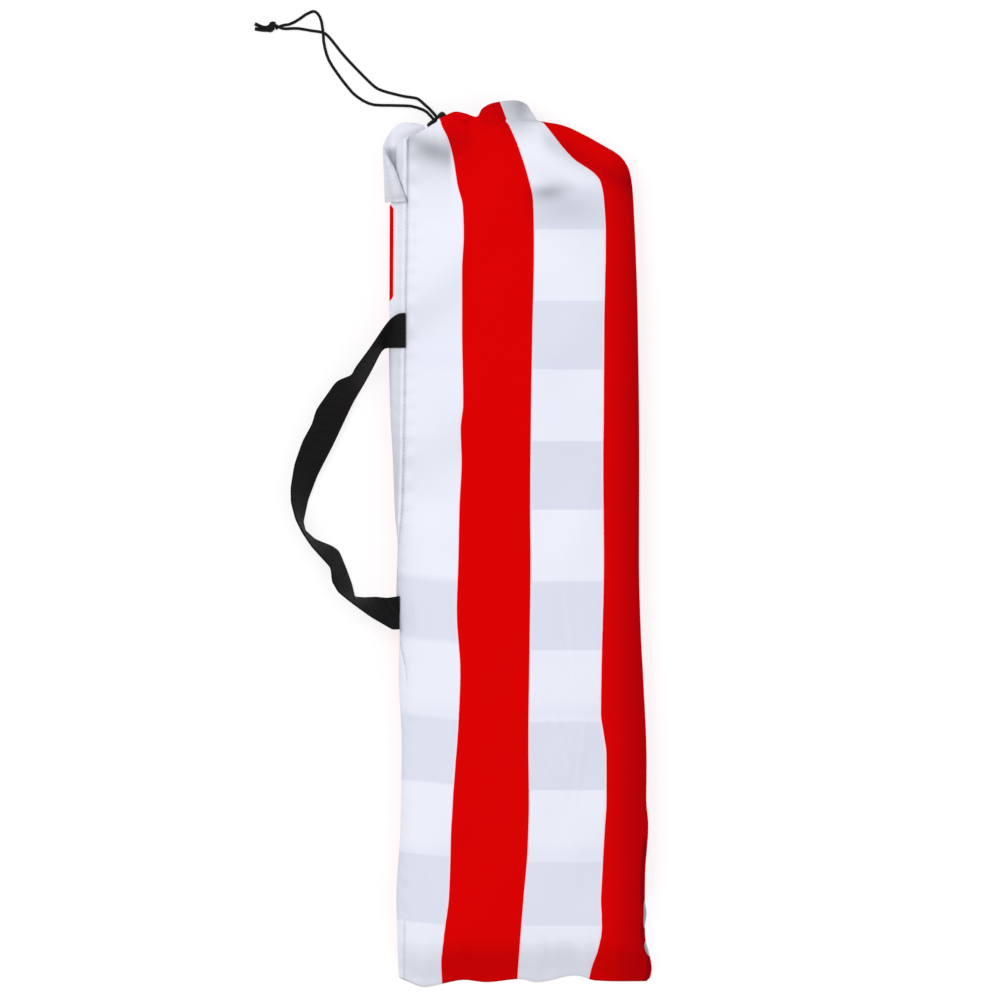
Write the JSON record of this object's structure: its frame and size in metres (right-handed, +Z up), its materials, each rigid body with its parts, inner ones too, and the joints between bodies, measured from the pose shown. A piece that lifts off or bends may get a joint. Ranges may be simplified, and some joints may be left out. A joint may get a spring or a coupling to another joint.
{
  "type": "windsock kit in carry bag",
  "caption": "Packed windsock kit: striped drawstring carry bag with webbing handle and cord lock, holding a plug-together pole, ground spike, hoop rod and folded sock.",
  "frame": {"origin": "under the middle of the kit without its free cord, on the surface that it lies on", "axes": "+Y along the bag towards its mouth, +Z up from the surface, +X across the bag away from its handle"},
  "size_m": [0.2865, 0.6991, 0.046],
  "materials": {
    "bag_cloth": "satin woven polyester, red and white stripes",
    "cord": "braided polyester cord",
    "black_plastic": "moulded acetal",
    "webbing": "woven polypropylene webbing",
    "tube_aluminium": "clear anodised",
    "plated_steel": "zinc plated",
    "glass_fibre": "pultruded glass fibre",
    "sock_cloth": "ripstop polyester, red and white stripes"
  },
  "bodies": {
    "bag": {"bag_shell": "bag_cloth", "drawcord_casing": "bag_cloth", "drawcord_loop": "cord", "handle_end_upper": "webbing", "handle_end_lower": "webbing", "drawcord_strand_long": "cord", "drawcord_strand_short": "cord", "drawcord_knot": "cord"},
    "handle": {"handle_strap": "webbing"},
    "cord_lock": {"cord_lock_barrel": "black_plastic", "cord_lock_spring": "plated_steel"},
    "lock_plunger": {"cord_lock_plunger": "black_plastic"},
    "pole_1": {"pole_tube_1": "tube_aluminium", "ferrule_1": "tube_aluminium"},
    "pole_2": {"pole_tube_2": "tube_aluminium", "ferrule_2": "tube_aluminium"},
    "pole_3": {"pole_tube_3": "tube_aluminium", "ferrule_3": "tube_aluminium"},
    "pole_4": {"pole_tube_4": "tube_aluminium", "top_plug": "black_plastic", "swivel_pin": "plated_steel", "swivel_washer": "plated_steel", "swivel_nut": "plated_steel"},
    "swivel": {"swivel_collar": "plated_steel"},
    "spike": {"ground_spike": "plated_steel"},
    "guard": {"spike_guard": "black_plastic"},
    "hoop": {"hoop_rod": "glass_fibre", "hoop_joiner": "black_plastic"},
    "windsock": {"windsock_pack": "sock_cloth", "bridle_hank": "cord", "bridle_ring": "plated_steel", "snap_hook": "plated_steel"}
  },
  "joints": [
    {"name": "handle_swing", "type": "hinge", "parent": "bag", "child": "handle", "pos_m": [-0.0625, 0.1535, 0.021], "axis": [-0.0249, 0.9997, 0], "range_deg": [0, 100]},
    {"name": "cord_lock_slide", "type": "slide", "parent": "bag", "child": "cord_lock", "axis": [-0.6606, 0.7507, 0], "range_m": [0, 0.005]},
    {"name": "plunger_press", "type": "slide", "parent": "cord_lock", "child": "lock_plunger", "axis": [0.7507, 0.6606, 0], "range_m": [0, 0.002], "stiffness_N_per_m": 1500, "springref_m": -0.001, "deforming": ["cord_lock_spring"]},
    {"name": "pole_1_pull", "type": "slide", "parent": "bag", "child": "pole_1", "axis": [0, 1, 0], "range_m": [0, 0.62]},
    {"name": "pole_2_pull", "type": "slide", "parent": "bag", "child": "pole_2", "axis": [0, 1, 0], "range_m": [0, 0.62]},
    {"name": "pole_3_pull", "type": "slide", "parent": "bag", "child": "pole_3", "axis": [0, 1, 0], "range_m": [0, 0.62]},
    {"name": "pole_4_pull", "type": "slide", "parent": "bag", "child": "pole_4", "axis": [0, 1, 0], "range_m": [0, 0.62]},
    {"name": "swivel_turn", "type": "hinge", "parent": "pole_4", "child": "swivel", "pos_m": [0.0129, 0.258, 0.022], "axis": [0, 1, 0], "continuous": true},
    {"name": "spike_pull", "type": "slide", "parent": "bag", "child": "spike", "axis": [0, 1, 0], "range_m": [0, 0.62]},
    {"name": "guard_pull", "type": "slide", "parent": "spike", "child": "guard", "axis": [0, 1, 0], "range_m": [0, 0.05]},
    {"name": "hoop_pull", "type": "slide", "parent": "bag", "child": "hoop", "axis": [0, 1, 0], "range_m": [0, 0.62]},
    {"name": "windsock_pull", "type": "slide", "parent": "bag", "child": "windsock", "axis": [0, 1, 0], "range_m": [0, 0.62], "deforming": ["windsock_pack"]}
  ]
}
